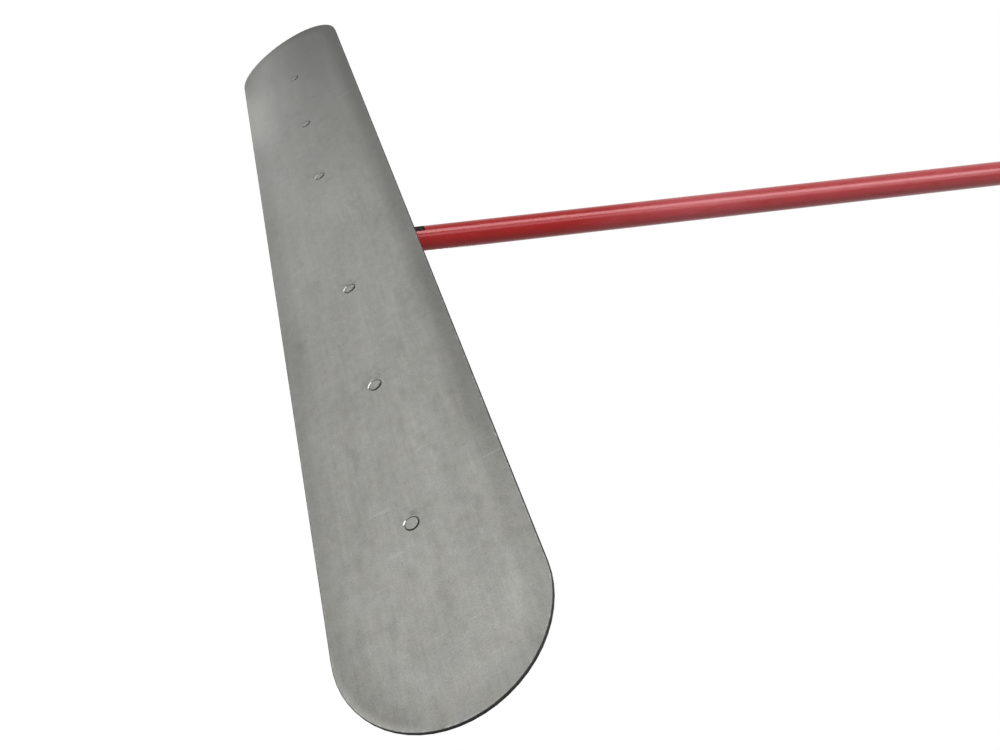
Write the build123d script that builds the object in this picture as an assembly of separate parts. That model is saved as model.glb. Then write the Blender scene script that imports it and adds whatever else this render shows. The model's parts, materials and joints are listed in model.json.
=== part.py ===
from build123d import *
import os

# A bull float: a long round-ended blade that smooths wet concrete, a backbone channel
# riveted along its back, and a tube handle that tilts on a clamped pivot in the middle.
# Millimetres. The origin is the middle of the working face, which looks down at z = 0.
# +Y runs along the blade, +X is the side that the handle leans to, +Z is the handle's side.

# Blade
blade_length = 1524.0
blade_width = 203.2
blade_thickness = 4.0
face_edge_radius = 0.5
back_edge_radius = 1.0

# Backbone channel, open upwards; it runs past the outermost rivets by its end margin
channel_end_margin = 62.0
channel_width = 50.0
channel_height = 15.0
channel_wall = 3.0
channel_corner_radius = 2.5
channel_end_slope = 36.0

# Flush rivets that hold the channel on the blade, three on each side of the middle
rivet_distances = (157.0, 352.0, 558.0)
rivet_shank_diameter = 6.0
rivet_hole_clearance = 0.1
rivet_seat_diameter = 15.8
rivet_seat_depth = 1.3
rivet_cone_depth = 1.5
rivet_head_diameter = 13.6
rivet_head_clearance = 0.05
rivet_head_rim = 0.45
rivet_tail_diameter = 10.5
rivet_tail_height = 3.0
rivet_tail_radius = 1.6
rivet_washer_diameter = 15.0
rivet_washer_thickness = 1.2

# Handle tube and its tilt at rest
handle_angle = 27.5
pivot_height = 37.0
tube_diameter = 34.9
tube_wall = 1.65
tube_length = 1829.0
tube_start = 45.0
tube_slot_width = 13.0
tube_slot_length = 63.0

# Adapter between the pivot and the tube
lug_thickness = 12.7
lug_height = 24.0
eye_radius = 13.0
collar_length = 6.0
stem_length = 105.0
stem_clearance = 0.1
stem_chamfer = 2.0
key_rise = 0.55
key_clearance = 0.2
lug_fillet = 3.0

# Pivot bracket: a base plate with two ears
bracket_length = 130.0
bracket_thickness = 6.0
bracket_side_clearance = 0.5
bracket_corner_radius = 6.0
bracket_edge = 1.0
ear_thickness = 7.0
ear_radius = 15.0
ear_foot_width = 36.0

# Pivot bolt and what is on it
pivot_diameter = 10.0
pivot_running_clearance = 0.05
pivot_hole_clearance = 0.15
bush_diameter = 14.0
disc_diameter = 28.0
disc_thickness = 2.0
disc_running_gap = 0.05
bolt_head_diameter = 22.0
bolt_head_height = 5.0
bolt_neck_length = 5.5
bolt_end_rise = 4.0
bolt_end_chamfer = 1.0
pivot_washer_diameter = 24.0
pivot_washer_thickness = 2.0
spring_washer_diameter = 18.0
spring_washer_thickness = 2.2
spring_washer_split = 1.6

# Wing nut
wing_hub_diameter = 18.0
wing_hub_height = 10.0
wing_reach = 20.0
wing_rise = 17.0
wing_width = 9.0
wing_thickness = 3.4
wing_corner_radius = 2.0
wing_turn = 35.0
wing_nut_gap = 0.05

# M6 screws, nuts and washers of the bracket and of the stem
m6_diameter = 6.0
m6_hole_clearance = 0.2
m6_thread_clearance = 0.02
m6_washer_diameter = 12.5
m6_washer_thickness = 1.4
m6_across_flats = 10.0
m6_nut_height = 5.0
m6_head_height = 4.0
m6_end_rise = 2.0
m6_edge = 0.5
bracket_screw_spacing_x = 26.0
bracket_screw_spacing_y = 104.0
screw_sink_diameter = 11.5
screw_sink_depth = 2.6
screw_head_recess = 0.1
screw_head_clearance = 0.05
cross_bolt_distances = (58.0, 78.0)

# Ferrule in the tube's upper end, with the socket for an extension pole
extension_pole_diameter = 25.4
socket_clearance = 0.1
ferrule_depth = 70.0
ferrule_lip = 5.0
ferrule_lip_diameter = 37.0
ferrule_edge = 1.2
ferrule_tube_clearance = 0.05

# Sizes that follow from the ones above
channel_base = blade_thickness
channel_length = 2 * (max(rivet_distances) + channel_end_margin)
web_top = channel_base + channel_wall
bracket_top = web_top + bracket_thickness
tube_bore = tube_diameter - 2 * tube_wall
stem_diameter = tube_bore - 2 * stem_clearance
tube_end = tube_start + tube_length
disc_inner_y = lug_thickness / 2 + disc_running_gap
ear_inner_y = disc_inner_y + disc_thickness
ear_outer_y = ear_inner_y + ear_thickness
spring_washer_y = ear_outer_y + pivot_washer_thickness
wing_nut_y = spring_washer_y + spring_washer_thickness + wing_nut_gap
pivot_end_y = wing_nut_y + wing_hub_height + bolt_end_rise
UP = (Align.CENTER, Align.CENTER, Align.MIN)


def rivet_places():
    """Places of the rivets on the blade's centre line."""
    return [Pos(0, side * distance, 0) for side in (-1, 1) for distance in rivet_distances]


def bracket_screw_places():
    """Places of the four bracket screws."""
    x = bracket_screw_spacing_x / 2
    y = bracket_screw_spacing_y / 2
    return [Pos(i * x, j * y, 0) for i in (-1, 1) for j in (-1, 1)]


def at_pivot():
    """Frame at the pivot with its Z along the pivot bolt, towards +Y."""
    return Pos(0, 0, pivot_height) * Rot(-90, 0, 0)


def along_handle():
    """Frame at the pivot with its X along the tilted handle."""
    return Pos(0, 0, pivot_height) * Rot(0, -handle_angle, 0)


def round_bar(diameter, start, length):
    """Bar along the handle frame's X, from start."""
    return Pos(start, 0, 0) * Rot(0, 90, 0) * Cylinder(diameter / 2, length, align=UP)


def tapered_hole(mouth_diameter, hole_diameter, depth, length):
    """Countersunk hole that opens at z = 0 and runs upwards."""
    cone = Cone(mouth_diameter / 2, hole_diameter / 2, depth, align=UP)
    return cone + Cylinder(hole_diameter / 2, length, align=UP)


def tapered_head(mouth_diameter, hole_diameter, depth, recess, clearance):
    """Countersunk head that seats in the matching hole, set back by recess."""
    slope = (mouth_diameter - hole_diameter) / 2 / depth
    low_radius = mouth_diameter / 2 - slope * recess - clearance
    high_radius = hole_diameter / 2 - clearance
    return Pos(0, 0, recess) * Cone(low_radius, high_radius, depth - recess, align=UP)


def ring(outer_diameter, inner_diameter, thickness):
    """Flat washer on z = 0."""
    disc = Cylinder(outer_diameter / 2, thickness, align=UP)
    return disc - Cylinder(inner_diameter / 2, thickness, align=UP)


def hexagon(across_flats, height):
    """Hexagonal block on z = 0 with its upper corners turned off."""
    block = extrude(RegularPolygon(across_flats / 2, 6, major_radius=False), height)
    corner_radius = across_flats * 0.5774
    turned = Cylinder(corner_radius, height, align=UP)
    turned = chamfer(turned.edges().sort_by(Axis.Z)[-1], m6_edge)
    return block & turned


rivet_hole_diameter = rivet_shank_diameter + 2 * rivet_hole_clearance
m6_hole_diameter = m6_diameter + 2 * m6_hole_clearance
pivot_hole_diameter = pivot_diameter + 2 * pivot_hole_clearance
pivot_bore_diameter = pivot_diameter + 2 * pivot_running_clearance


def make_blade():
    """Round-ended plate with a countersunk hole for each rivet."""
    plate = extrude(SlotOverall(blade_length, blade_width, rotation=90), blade_thickness)
    plate = fillet(plate.edges().group_by(Axis.Z)[-1], back_edge_radius)
    plate = fillet(plate.edges().group_by(Axis.Z)[0], face_edge_radius)
    seat = Cylinder(rivet_seat_diameter / 2, rivet_seat_depth, align=UP)
    cone = tapered_hole(rivet_seat_diameter, rivet_hole_diameter, rivet_cone_depth, blade_thickness)
    hole = seat + Pos(0, 0, rivet_seat_depth) * cone
    for place in rivet_places():
        plate -= place * hole
    return plate


def make_backbone_channel():
    """Channel on the blade's back, its flanges sloped down at both ends."""
    outer = Rectangle(channel_width, channel_height, align=(Align.CENTER, Align.MIN))
    inner_width = channel_width - 2 * channel_wall
    inner = Rectangle(inner_width, channel_height, align=(Align.CENTER, Align.MIN))
    section = outer - Pos(0, channel_wall) * inner
    section = fillet(section.vertices().group_by(Axis.Y)[0], channel_corner_radius)
    channel = extrude(Plane.XZ * Pos(0, channel_base) * section, channel_length / 2, both=True)
    rise = channel_height - channel_wall
    wedge = Polygon((0, 0), (channel_end_slope, rise), (0, rise), align=None)
    wedge = extrude(Plane.YZ * Pos(-channel_length / 2, web_top) * wedge, channel_width, both=True)
    channel -= wedge
    channel -= mirror(wedge, Plane.XZ)
    for place in rivet_places():
        channel -= place * Cylinder(rivet_hole_diameter / 2, 2 * web_top)
    sink = tapered_hole(screw_sink_diameter, m6_hole_diameter, screw_sink_depth, channel_wall)
    for place in bracket_screw_places():
        channel -= place * Pos(0, 0, channel_base) * sink
    return channel


def make_blade_rivets():
    """Rivets with a flush head in a ring-shaped gap, and a round tail on the washer."""
    head_radius = rivet_head_diameter / 2
    shank_radius = rivet_shank_diameter / 2
    slope = (rivet_seat_diameter - rivet_hole_diameter) / 2 / rivet_cone_depth
    underside = rivet_seat_depth - rivet_head_clearance
    rim_height = underside + (rivet_seat_diameter / 2 - head_radius) / slope
    neck_height = underside + (rivet_seat_diameter / 2 - shank_radius) / slope
    outline = Polyline(
        (0, 0), (head_radius, 0), (head_radius, rim_height), (shank_radius, neck_height), (0, neck_height), (0, 0)
    )
    head = revolve(Plane.XZ * make_face(outline), Axis.Z)
    head = fillet(head.edges().sort_by(Axis.Z)[0], rivet_head_rim)
    tail_base = web_top + rivet_washer_thickness
    shank_length = tail_base + rivet_tail_height / 2 - rivet_seat_depth
    shank = Pos(0, 0, rivet_seat_depth) * Cylinder(shank_radius, shank_length, align=UP)
    tail = Cylinder(rivet_tail_diameter / 2, rivet_tail_height, align=UP)
    tail = fillet(tail.edges().sort_by(Axis.Z)[-1], rivet_tail_radius)
    rivet = head + shank + Pos(0, 0, tail_base) * tail
    return [place * rivet for place in rivet_places()]


def make_rivet_washers():
    """One washer under each rivet's tail."""
    washer = ring(rivet_washer_diameter, rivet_hole_diameter, rivet_washer_thickness)
    return [place * Pos(0, 0, web_top) * washer for place in rivet_places()]


def make_pivot_bracket():
    """Base plate in the channel with two ears for the pivot bolt."""
    base_width = channel_width - 2 * channel_wall - 2 * bracket_side_clearance
    base = extrude(Rectangle(base_width, bracket_length), bracket_thickness)
    base = fillet(base.edges().filter_by(Axis.Z), bracket_corner_radius)
    base = chamfer(base.edges().group_by(Axis.Z)[-1], bracket_edge)
    foot = ear_foot_width / 2
    side = Polygon(
        (-foot, bracket_top), (foot, bracket_top), (ear_radius, pivot_height), (-ear_radius, pivot_height),
        align=None,
    )
    outline = side + Pos(0, pivot_height) * Circle(ear_radius)
    ear = extrude(Plane.XZ.offset(-ear_outer_y) * outline, ear_thickness)
    ear = chamfer(ear.faces().sort_by(Axis.Y)[-1].edges().sort_by(Axis.Z)[1:], bracket_edge)
    bracket = Pos(0, 0, web_top) * base + ear + mirror(ear, Plane.XZ)
    far_hole = Cylinder(pivot_hole_diameter / 2, ear_outer_y + 1, align=UP)
    near_hole = Pos(0, 0, -ear_outer_y) * Box(
        pivot_hole_diameter, pivot_hole_diameter, ear_thickness, align=UP
    )
    bracket -= at_pivot() * far_hole
    bracket -= at_pivot() * near_hole
    for place in bracket_screw_places():
        bracket -= place * Pos(0, 0, web_top) * Cylinder(m6_hole_diameter / 2, bracket_thickness, align=UP)
    return bracket


def make_bracket_screws():
    """Countersunk screws that come up through the channel's web and the bracket."""
    length = bracket_top + m6_washer_thickness + m6_nut_height + m6_end_rise - channel_base
    head = tapered_head(
        screw_sink_diameter, m6_hole_diameter, screw_sink_depth, screw_head_recess, screw_head_clearance
    )
    shank = Cylinder(m6_diameter / 2, length - screw_sink_depth, align=UP)
    shank = chamfer(shank.edges().sort_by(Axis.Z)[-1], m6_edge)
    screw = head + Pos(0, 0, screw_sink_depth) * shank
    return [place * Pos(0, 0, channel_base) * screw for place in bracket_screw_places()]


def make_m6_washer():
    """Flat M6 washer on z = 0."""
    return ring(m6_washer_diameter, m6_hole_diameter, m6_washer_thickness)


def make_m6_nut():
    """Hexagon M6 nut on z = 0."""
    bore = m6_diameter + 2 * m6_thread_clearance
    return hexagon(m6_across_flats, m6_nut_height) - Cylinder(bore / 2, m6_nut_height, align=UP)


def make_bracket_washers():
    """One washer on the base plate for each bracket screw."""
    washer = make_m6_washer()
    return [place * Pos(0, 0, bracket_top) * washer for place in bracket_screw_places()]


def make_bracket_nuts():
    """One nut on each bracket screw."""
    nut = make_m6_nut()
    height = bracket_top + m6_washer_thickness
    return [place * Pos(0, 0, height) * nut for place in bracket_screw_places()]


def make_pivot_bolt():
    """Carriage bolt: domed head, square neck in the near ear, plain round shank."""
    sphere_radius = (bolt_head_diameter**2 / 4 + bolt_head_height**2) / (2 * bolt_head_height)
    centre = -ear_outer_y - bolt_head_height + sphere_radius
    ball = Pos(0, 0, centre) * Sphere(sphere_radius)
    cutter = Pos(0, 0, -ear_outer_y) * Cylinder(
        sphere_radius, 3 * sphere_radius, align=(Align.CENTER, Align.CENTER, Align.MAX)
    )
    head = ball & cutter
    neck = Pos(0, 0, -ear_outer_y) * Box(pivot_diameter, pivot_diameter, bolt_neck_length, align=UP)
    shank = Pos(0, 0, -ear_outer_y) * Cylinder(pivot_diameter / 2, ear_outer_y + pivot_end_y, align=UP)
    shank = chamfer(shank.edges().sort_by(Axis.Z)[-1], bolt_end_chamfer)
    return at_pivot() * (head + neck + shank)


def make_pivot_bush():
    """Plain bush pressed in the adapter's eye, free on the pivot bolt."""
    bush = ring(bush_diameter, pivot_bore_diameter, lug_thickness)
    return at_pivot() * Pos(0, 0, -lug_thickness / 2) * bush


def make_friction_disc(side):
    """Fibre disc between the adapter's eye and one ear; side is 1 towards +Y."""
    disc = ring(disc_diameter, pivot_hole_diameter, disc_thickness)
    start = disc_inner_y if side > 0 else -ear_inner_y
    return at_pivot() * Pos(0, 0, start) * disc


def make_pivot_washer():
    """Flat washer on the far ear."""
    washer = ring(pivot_washer_diameter, pivot_hole_diameter, pivot_washer_thickness)
    return at_pivot() * Pos(0, 0, ear_outer_y) * washer


def make_spring_washer():
    """Split washer under the wing nut, pressed flat."""
    washer = ring(spring_washer_diameter, pivot_hole_diameter, spring_washer_thickness)
    split = Box(
        spring_washer_diameter, spring_washer_split, spring_washer_thickness,
        align=(Align.MIN, Align.CENTER, Align.MIN),
    )
    return at_pivot() * Pos(0, 0, spring_washer_y) * (washer - split)


def make_wing_nut():
    """Wing nut: a tapered hub with two upright wings."""
    hub = Cone(wing_hub_diameter / 2, wing_hub_diameter / 2 - 1.5, wing_hub_height, align=UP)
    root = pivot_diameter / 2 + 1.5
    outline = Polygon(
        (root, 0.15 * wing_hub_height),
        (wing_reach - 2, 0.6 * wing_hub_height),
        (wing_reach, wing_rise),
        (wing_reach - wing_width, wing_rise),
        (root, 0.85 * wing_hub_height),
        align=None,
    )
    outline = fillet(outline.vertices().sort_by(Axis.X)[2:], wing_corner_radius)
    wing = extrude(Plane.XZ * outline, wing_thickness / 2, both=True)
    wing = chamfer(wing.faces().sort_by(Axis.Y)[0].edges(), 0.6)
    wing = chamfer(wing.faces().sort_by(Axis.Y)[-1].edges(), 0.6)
    nut = hub + wing + Rot(0, 0, 180) * wing
    nut -= Cylinder(pivot_bore_diameter / 2, wing_hub_height + wing_rise, align=UP)
    return at_pivot() * Pos(0, 0, wing_nut_y) * Rot(0, 0, wing_turn) * nut


def make_handle_adapter():
    """Eye and lug at the pivot, a collar, and the stem that fills the tube's end."""
    eye = Rot(90, 0, 0) * Cylinder(eye_radius, lug_thickness)
    collar_start = tube_start - collar_length
    lug = Box(collar_start + collar_length / 2, lug_thickness, lug_height, align=(Align.MIN, Align.CENTER, Align.CENTER))
    lug = lug + eye
    collar = round_bar(tube_diameter, collar_start, collar_length)
    stem = round_bar(stem_diameter, tube_start, stem_length)
    stem = chamfer(stem.edges().sort_by(Axis.X)[-1], stem_chamfer)
    key_width = tube_slot_width - 2 * key_clearance
    key_length = tube_slot_length - key_clearance
    key_bar = round_bar(stem_diameter + 2 * key_rise, tube_start, key_length)
    key_bar &= Pos(tube_start, 0, 0) * Box(
        key_length, key_width, tube_diameter, align=(Align.MIN, Align.CENTER, Align.CENTER)
    )
    adapter = lug + collar + stem + key_bar
    corner = adapter.edges().filter_by(Axis.Z).filter_by_position(Axis.X, collar_start - 0.1, collar_start + 0.1)
    adapter = fillet(corner, lug_fillet)
    adapter -= Rot(90, 0, 0) * Cylinder(bush_diameter / 2, lug_thickness)
    for distance in cross_bolt_distances:
        adapter -= Pos(distance, 0, 0) * Rot(90, 0, 0) * Cylinder(m6_hole_diameter / 2, tube_diameter)
    return along_handle() * adapter


def make_handle_tube():
    """Round tube, slotted above and below at its lower end, cross drilled for its bolts."""
    tube = round_bar(tube_diameter, tube_start, tube_length)
    tube -= round_bar(tube_bore, tube_start, tube_length)
    tube -= Pos(tube_start, 0, 0) * Box(
        tube_slot_length, tube_slot_width, 2 * tube_diameter, align=(Align.MIN, Align.CENTER, Align.CENTER)
    )
    for distance in cross_bolt_distances:
        tube -= Pos(distance, 0, 0) * Rot(90, 0, 0) * Cylinder(m6_hole_diameter / 2, 2 * tube_diameter)
    return along_handle() * tube


def cross_bolt_places():
    """Frames on the handle's axis at each cross bolt, Z towards +Y."""
    return [along_handle() * Pos(distance, 0, 0) * Rot(-90, 0, 0) for distance in cross_bolt_distances]


def make_cross_bolts():
    """Hexagon bolts through the tube and the stem, heads towards -Y."""
    seat = tube_diameter / 2 + m6_washer_thickness
    head = mirror(hexagon(m6_across_flats, m6_head_height), Plane.XY)
    length = 2 * seat + m6_nut_height + m6_end_rise
    shank = Cylinder(m6_diameter / 2, length, align=UP)
    shank = chamfer(shank.edges().sort_by(Axis.Z)[-1], m6_edge)
    bolt = Pos(0, 0, -seat) * (head + shank)
    return [place * bolt for place in cross_bolt_places()]


def make_cross_washers():
    """Two washers on each cross bolt, one on each side of the tube."""
    washer = make_m6_washer()
    seat = tube_diameter / 2
    near = Pos(0, 0, -seat - m6_washer_thickness) * washer
    far = Pos(0, 0, seat) * washer
    return [place * piece for place in cross_bolt_places() for piece in (near, far)]


def make_cross_nuts():
    """One nut on each cross bolt."""
    nut = Pos(0, 0, tube_diameter / 2 + m6_washer_thickness) * make_m6_nut()
    return [place * nut for place in cross_bolt_places()]


def make_handle_ferrule():
    """Lipped sleeve in the tube's upper end with the socket for an extension pole."""
    sleeve_diameter = tube_bore - 2 * ferrule_tube_clearance
    sleeve = round_bar(sleeve_diameter, tube_end - ferrule_depth, ferrule_depth)
    lip = round_bar(ferrule_lip_diameter, tube_end, ferrule_lip)
    lip = fillet(lip.edges().sort_by(Axis.X)[-1], ferrule_edge)
    socket_diameter = extension_pole_diameter + 2 * socket_clearance
    length = ferrule_depth + ferrule_lip
    socket = round_bar(socket_diameter, tube_end - ferrule_depth, length)
    return along_handle() * (sleeve + lip - socket)


def write(name, shape):
    """Write one node: a single solid, or a list of them as one group."""
    if isinstance(shape, list):
        shape = Compound(children=shape)
    shape.label = name
    export_step(shape, f"parts/{name}.step")


NODES = {
    "blade": make_blade(),
    "backbone_channel": make_backbone_channel(),
    "blade_rivets": make_blade_rivets(),
    "rivet_washers": make_rivet_washers(),
    "pivot_bracket": make_pivot_bracket(),
    "bracket_screws": make_bracket_screws(),
    "bracket_washers": make_bracket_washers(),
    "bracket_nuts": make_bracket_nuts(),
    "pivot_bolt": make_pivot_bolt(),
    "friction_disc_near": make_friction_disc(-1),
    "friction_disc_far": make_friction_disc(1),
    "pivot_washer": make_pivot_washer(),
    "spring_washer": make_spring_washer(),
    "wing_nut": make_wing_nut(),
    "pivot_bush": make_pivot_bush(),
    "handle_adapter": make_handle_adapter(),
    "handle_tube": make_handle_tube(),
    "cross_bolts": make_cross_bolts(),
    "cross_washers": make_cross_washers(),
    "cross_nuts": make_cross_nuts(),
    "handle_ferrule": make_handle_ferrule(),
}

os.makedirs("parts", exist_ok=True)
for node_name, node_shape in NODES.items():
    write(node_name, node_shape)
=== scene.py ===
"""Finish of a bull float: a smoothing blade on a riveted channel, and a red tube handle that tilts."""

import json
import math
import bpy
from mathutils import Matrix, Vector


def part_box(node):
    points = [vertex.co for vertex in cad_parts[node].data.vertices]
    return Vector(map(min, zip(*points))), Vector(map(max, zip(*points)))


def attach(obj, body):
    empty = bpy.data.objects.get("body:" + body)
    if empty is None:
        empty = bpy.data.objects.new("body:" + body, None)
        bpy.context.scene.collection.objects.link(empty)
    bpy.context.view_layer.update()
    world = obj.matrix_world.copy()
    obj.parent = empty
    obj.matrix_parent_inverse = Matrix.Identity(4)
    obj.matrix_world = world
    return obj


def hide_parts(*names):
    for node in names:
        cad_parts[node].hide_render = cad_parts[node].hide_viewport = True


bl_info = {
    "name": "Bull Float Finish",
    "version": (1, 0, 0),
    "blender": (4, 5, 0),
    "location": "View3D > Sidebar > Float",
    "description": "Dresses a bull float in its metals, paint and small parts, in a white studio",
    "category": "Object",
}

import bmesh
import bpy
from mathutils import Euler, Matrix, Vector

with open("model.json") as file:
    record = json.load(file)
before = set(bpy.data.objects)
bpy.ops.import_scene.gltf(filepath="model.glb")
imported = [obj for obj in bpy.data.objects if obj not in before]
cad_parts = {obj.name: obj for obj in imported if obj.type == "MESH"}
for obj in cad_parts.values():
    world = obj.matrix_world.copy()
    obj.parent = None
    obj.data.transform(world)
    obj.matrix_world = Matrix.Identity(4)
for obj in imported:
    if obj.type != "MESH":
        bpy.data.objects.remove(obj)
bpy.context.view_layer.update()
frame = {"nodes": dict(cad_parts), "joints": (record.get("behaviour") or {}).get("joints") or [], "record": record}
MM = 0.001


def srgb(red, green, blue):
    """Linear colour of an 8-bit screen colour."""
    return tuple(
        value / 12.92 if value <= 0.04045 else ((value + 0.055) / 1.055) ** 2.4
        for value in (red / 255, green / 255, blue / 255)
    )


# ---------------------------------------------------------------- node wires


def find(sockets, name):
    """The socket of this identifier, name or number."""
    same = [socket for socket in sockets if socket.identifier == name]
    return same[0] if same else sockets[name]


class Wire:
    """A socket of a node tree. Arithmetic on it adds Math nodes, so a pattern reads as a formula."""

    def __init__(self, tree, socket=None):
        self.tree = tree
        self.socket = socket

    def node(self, kind, settings=None, inputs=None, output=0):
        """Adds a node: first its settings, then the values or links of its sockets."""
        made = self.tree.nodes.new(kind)
        for name, value in (settings or {}).items():
            if name == "choices":
                for _ in range(value - len(made.index_switch_items)):
                    made.index_switch_items.new()
            else:
                setattr(made, name, value)
        for name, value in (inputs or {}).items():
            self.feed(made, name, value)
        return Wire(self.tree, find(made.outputs, output) if made.outputs else None)

    def feed(self, made, name, value):
        """Links a wire to an input, or sets the input's own value."""
        socket = find(made.inputs, name)
        if isinstance(value, Wire):
            self.tree.links.new(value.socket, socket)
        else:
            socket.default_value = value

    def math(self, operation, *values):
        """Math node of the given operation."""
        return self.node("ShaderNodeMath", {"operation": operation}, dict(enumerate(values)))

    def __add__(self, other):
        return self.math("ADD", self, other)

    def __radd__(self, other):
        return self.math("ADD", other, self)

    def __sub__(self, other):
        return self.math("SUBTRACT", self, other)

    def __rsub__(self, other):
        return self.math("SUBTRACT", other, self)

    def __mul__(self, other):
        return self.math("MULTIPLY", self, other)

    def __rmul__(self, other):
        return self.math("MULTIPLY", other, self)

    def __truediv__(self, other):
        return self.math("DIVIDE", self, other)

    def __pow__(self, other):
        return self.math("POWER", self, other)

    def __mod__(self, other):
        return self.math("FLOORED_MODULO", self, other)

    def __abs__(self):
        return self.math("ABSOLUTE", self)

    def least(self, other):
        """The smaller of the two."""
        return self.math("MINIMUM", self, other)

    def most(self, other):
        """The larger of the two."""
        return self.math("MAXIMUM", self, other)

    def swing(self, amount):
        """A change about 0, of this amount times what a noise lies off its middle."""
        return amount * (self - 0.5)

    def rise(self, low, high):
        """0 below low, 1 above high, and a smooth step between them."""
        return self.node(
            "ShaderNodeMapRange",
            {"interpolation_type": "SMOOTHSTEP"},
            {"Value": self, "From Min": low, "From Max": high},
        )

    def part(self, output):
        """Another output of this wire's node."""
        return Wire(self.tree, find(self.socket.node.outputs, output))

    def split(self):
        """The x, y and z of a vector."""
        x = self.node("ShaderNodeSeparateXYZ", inputs={"Vector": self})
        return x, x.part("Y"), x.part("Z")

    def join(self, x, y, z):
        """A vector of three numbers or wires."""
        return self.node("ShaderNodeCombineXYZ", inputs={"X": x, "Y": y, "Z": z})

    def blend(self, first, second):
        """Colour that goes from first, where this wire is 0, to second, where it is 1."""
        return self.node(
            "ShaderNodeMix",
            {"data_type": "RGBA"},
            {"Factor_Float": self, "A_Color": opaque(first), "B_Color": opaque(second)},
            output="Result_Color",
        )

    def tinted(self, colour):
        """This colour multiplied by another."""
        return self.node(
            "ShaderNodeMix",
            {"data_type": "RGBA", "blend_type": "MULTIPLY"},
            {"Factor_Float": 1.0, "A_Color": self, "B_Color": opaque(colour)},
            output="Result_Color",
        )

    def stretched(self, x=1.0, y=1.0, z=1.0, turn=(0.0, 0.0, 0.0)):
        """This point in a frame that is turned, in radians, and stretched."""
        return self.node(
            "ShaderNodeMapping",
            inputs={"Vector": self, "Rotation": turn, "Scale": (x, y, z)},
        )

    def noise(self, cell, detail=2.0, roughness=0.5):
        """Soft noise, mostly from 0.3 to 0.7, with patches about one cell wide, in metres."""
        return self.node(
            "ShaderNodeTexNoise",
            inputs={"Vector": self, "Scale": 1 / cell, "Detail": detail, "Roughness": roughness},
        )

    def cells(self, cell, output="Distance"):
        """Distance to, or colour of, scattered cells about one cell wide, in metres."""
        inputs = {"Vector": self, "Scale": 1 / cell}
        return self.node("ShaderNodeTexVoronoi", inputs=inputs, output=output)


def opaque(colour):
    """A colour with its alpha, or the wire as it is."""
    return colour if isinstance(colour, Wire) else (*colour[:3], 1.0)


# ---------------------------------------------------------------- measures of the frame


def solids_of(node):
    """Lowest and highest corner of each separate solid of a node."""
    copy = bmesh.new()
    copy.from_mesh(frame["nodes"][node].data)
    bmesh.ops.remove_doubles(copy, verts=copy.verts, dist=1e-6)
    left = set(copy.verts)
    found = []
    while left:
        group = [left.pop()]
        for vertex in group:
            joined = {edge.other_vert(vertex) for edge in vertex.link_edges} & left
            left -= joined
            group.extend(joined)
        places = [vertex.co for vertex in group]
        low = Vector([min(place[axis] for place in places) for axis in range(3)])
        high = Vector([max(place[axis] for place in places) for axis in range(3)])
        found.append((low, high))
    copy.free()
    return sorted(found, key=lambda box: tuple(box[0]))


def middle(box):
    """Centre of a box."""
    return (box[0] + box[1]) / 2


def extent(node):
    """Width, depth and height of a node's first solid."""
    low, high = solids_of(node)[0]
    return high - low


def radius_about(node, point, axis):
    """Greatest distance of a node's corners from an axis."""
    arms = [vertex.co - point for vertex in frame["nodes"][node].data.vertices]
    return max((arm - axis * arm.dot(axis)).length for arm in arms)


BLADE_LOW, BLADE_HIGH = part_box("blade")
BLADE_LENGTH = BLADE_HIGH.y - BLADE_LOW.y
BLADE_WIDTH = BLADE_HIGH.x - BLADE_LOW.x
RIVETS = solids_of("blade_rivets")
PIVOT = Vector(next(joint for joint in frame["joints"] if joint["name"] == "handle_tilt")["pos_m"])
SOCKET = next(mount for mount in frame["record"]["mounts"] if mount["name"] == "pole_socket")
HANDLE_AXIS = Vector(SOCKET["axis"]).normalized()
HANDLE_ANGLE = math.atan2(HANDLE_AXIS.z, HANDLE_AXIS.x)
TUBE_RADIUS = radius_about("handle_tube", PIVOT, HANDLE_AXIS)

# Where the wall of a rivet's seat begins on the working face, from the rivet's middle
RIVET_SEAT_RADIUS = 7.9 * MM

# Sizes of the small parts, by the names that their trees give them
RIVET = {
    "Head Bevel": 0.4 * MM,
    "Head Depth": 1.55 * MM,
    "Neck Height": 2.6 * MM,
    "Shank Radius": 3.0 * MM,
    "Tail Radius": 5.25 * MM,
    "Ripple": 0.5 * MM,
}
RIVET_WASHER = {"Hole Radius": 3.1 * MM, "Edge": 0.35 * MM}
PIVOT_BOLT = {"Head Height": 5.0 * MM, "Shank Radius": 5.0 * MM, "Pitch": 1.5 * MM}
M6_SUNK_SCREW = {"Head Height": 2.5 * MM, "Shank Radius": 3.0 * MM, "Thread Start": 5.0 * MM}
M6_BOLT = {
    "Head Width": 10.0 * MM,
    "Head Height": 4.0 * MM,
    "Shank Radius": 3.0 * MM,
    "Thread Start": 24.0 * MM,
}
M6_NUT = {"Across Flats": 10.0 * MM, "Hole Radius": 2.95 * MM}
M6_WASHER = {"Hole Radius": 3.2 * MM, "Edge": 0.3 * MM}
UPRIGHT = (0.0, 0.0, 0.0)
TOWARDS_Y = (-math.pi / 2, 0.0, 0.0)


# ---------------------------------------------------------------- settings


def colour_setting(name, description, *levels):
    """A colour, given in 8-bit levels of the screen."""
    return bpy.props.FloatVectorProperty(
        name=name, description=description, default=srgb(*levels), subtype="COLOR"
    )


def length_setting(name, description, metres):
    """A length."""
    return bpy.props.FloatProperty(name=name, description=description, default=metres, unit="LENGTH")


def power_setting(name, description, watts):
    """The power of a lamp."""
    return bpy.props.FloatProperty(name=name, description=description, default=watts, subtype="POWER")


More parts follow.
